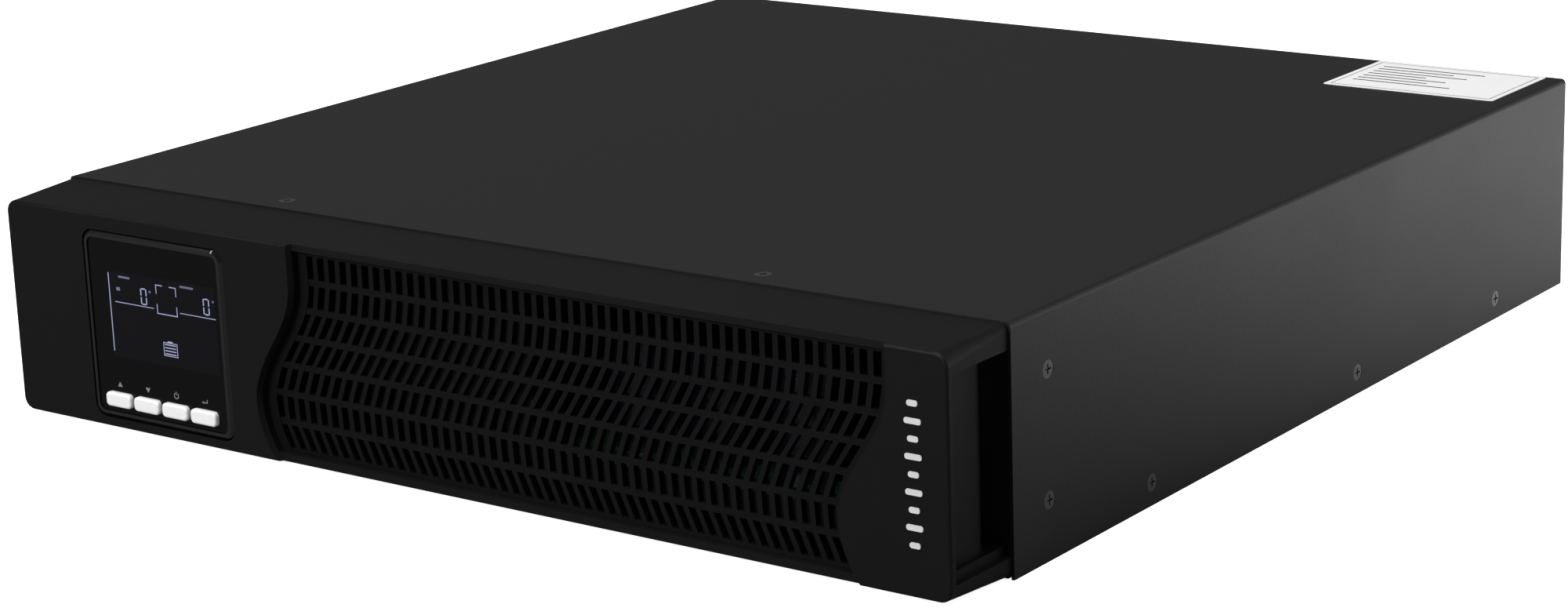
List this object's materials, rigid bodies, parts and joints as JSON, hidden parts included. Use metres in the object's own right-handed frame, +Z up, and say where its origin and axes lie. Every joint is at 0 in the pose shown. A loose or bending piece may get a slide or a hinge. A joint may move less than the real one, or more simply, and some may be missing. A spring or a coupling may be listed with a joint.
{
  "type": "uninterruptible power supply",
  "caption": "Black rack or tower battery backup unit with flowing slotted grille, removable square display module with push buttons, mains outlets, inlet and fans at the rear.",
  "frame": {"origin": "centre of the footprint on the underside of the case, midway between the bezel's face and the rear edge", "axes": "+Y to the rear, +Z up when lying flat, +X to the right seen from the front"},
  "size_m": [0.438, 0.4671, 0.0881],
  "materials": {
    "case_paint": "fine textured black powder coat",
    "zinc_sheet": "zinc-plated sheet",
    "screw_black": "black zinc",
    "screw_bright": "bright zinc",
    "guard_wire": "bright plated wire",
    "bezel_black": "fine spark-eroded black",
    "fan_black": "satin black",
    "socket_black": "satin black",
    "window_black": "high gloss",
    "button_white": "semi gloss",
    "label_paper": "matt",
    "lcd_glass": "polarised glass",
    "board_green": "solder mask",
    "switch_black": "satin",
    "battery_case": "satin dark grey",
    "plug_grey": "satin",
    "lead_red": "satin insulation",
    "standoff_brass": "turned",
    "sink_aluminium": "extruded",
    "capacitor_sleeve": "shrink sleeve",
    "ferrite": "sintered",
    "copper_wound": "enamelled copper",
    "port_metal": "nickel-plated shell",
    "terminal_green": "satin"
  },
  "bodies": {
    "chassis": {"base_pan": "case_paint", "top_cover": "case_paint", "rear_panel": "case_paint", "slot_cover": "case_paint", "front_frame": "case_paint", "battery_door": "case_paint", "battery_tray": "zinc_sheet", "case_screws": "screw_black", "base_screws": "screw_black", "fan_screws": "screw_black", "slot_screws": "screw_black", "battery_door_screws": "screw_bright", "board_screws": "screw_bright", "jackscrews": "screw_bright", "battery_tabs": "screw_bright", "inlet_pins": "screw_bright", "fan_guard_1": "guard_wire", "fan_guard_2": "guard_wire", "fan_frame_1": "fan_black", "fan_frame_2": "fan_black", "inlet_housing": "socket_black", "outlet_bank_lower": "socket_black", "outlet_bank_upper": "socket_black", "breaker_body": "socket_black", "rating_label": "label_paper", "power_board": "board_green", "control_board": "board_green", "power_transistors": "switch_black", "relays": "switch_black", "battery_1": "battery_case", "battery_2": "battery_case", "battery_3": "battery_case", "battery_4": "battery_case", "battery_plug": "plug_grey", "battery_leads": "lead_red", "board_standoffs": "standoff_brass", "heatsink_1": "sink_aluminium", "heatsink_2": "sink_aluminium", "bulk_capacitors": "capacitor_sleeve", "transformer": "ferrite", "inductors": "copper_wound", "serial_port": "port_metal", "usb_port": "port_metal", "epo_connector": "terminal_green"},
    "fan_rotor_1": {"fan_rotor_1": "fan_black"},
    "fan_rotor_2": {"fan_rotor_2": "fan_black"},
    "breaker_button": {"breaker_button": "socket_black"},
    "bezel": {"front_bezel": "bezel_black", "front_grille": "bezel_black", "brand_mark": "button_white"},
    "display": {"display_housing": "window_black", "display_window": "window_black", "display_back": "bezel_black", "display_board": "board_green", "lcd_panel": "lcd_glass", "tact_switches": "switch_black"},
    "button_up": {"button_up": "button_white"},
    "button_down": {"button_down": "button_white"},
    "button_escape": {"button_escape": "button_white"},
    "button_enter": {"button_enter": "button_white"}
  },
  "joints": [
    {"name": "bezel_pull", "type": "slide", "parent": "chassis", "child": "bezel", "axis": [0, -1, 0], "range_m": [0, 0.05]},
    {"name": "display_pull", "type": "slide", "parent": "bezel", "child": "display", "axis": [0, -1, 0], "range_m": [0, 0.028]},
    {"name": "press_up", "type": "slide", "parent": "display", "child": "button_up", "axis": [0, 1, 0], "range_m": [0, 0.0008], "stiffness_N_per_m": 1000},
    {"name": "press_down", "type": "slide", "parent": "display", "child": "button_down", "axis": [0, 1, 0], "range_m": [0, 0.0008], "stiffness_N_per_m": 1000},
    {"name": "press_escape", "type": "slide", "parent": "display", "child": "button_escape", "axis": [0, 1, 0], "range_m": [0, 0.0008], "stiffness_N_per_m": 1000},
    {"name": "press_enter", "type": "slide", "parent": "display", "child": "button_enter", "axis": [0, 1, 0], "range_m": [0, 0.0008], "stiffness_N_per_m": 1000},
    {"name": "fan_spin_1", "type": "hinge", "parent": "chassis", "child": "fan_rotor_1", "pos_m": [0.082, 0.215, 0.044], "axis": [0, 1, 0], "continuous": true},
    {"name": "fan_spin_2", "type": "hinge", "parent": "chassis", "child": "fan_rotor_2", "pos_m": [0.168, 0.215, 0.044], "axis": [0, 1, 0], "continuous": true},
    {"name": "breaker_reset", "type": "slide", "parent": "chassis", "child": "breaker_button", "axis": [0, 1, 0], "range_m": [0, 0.003]}
  ]
}
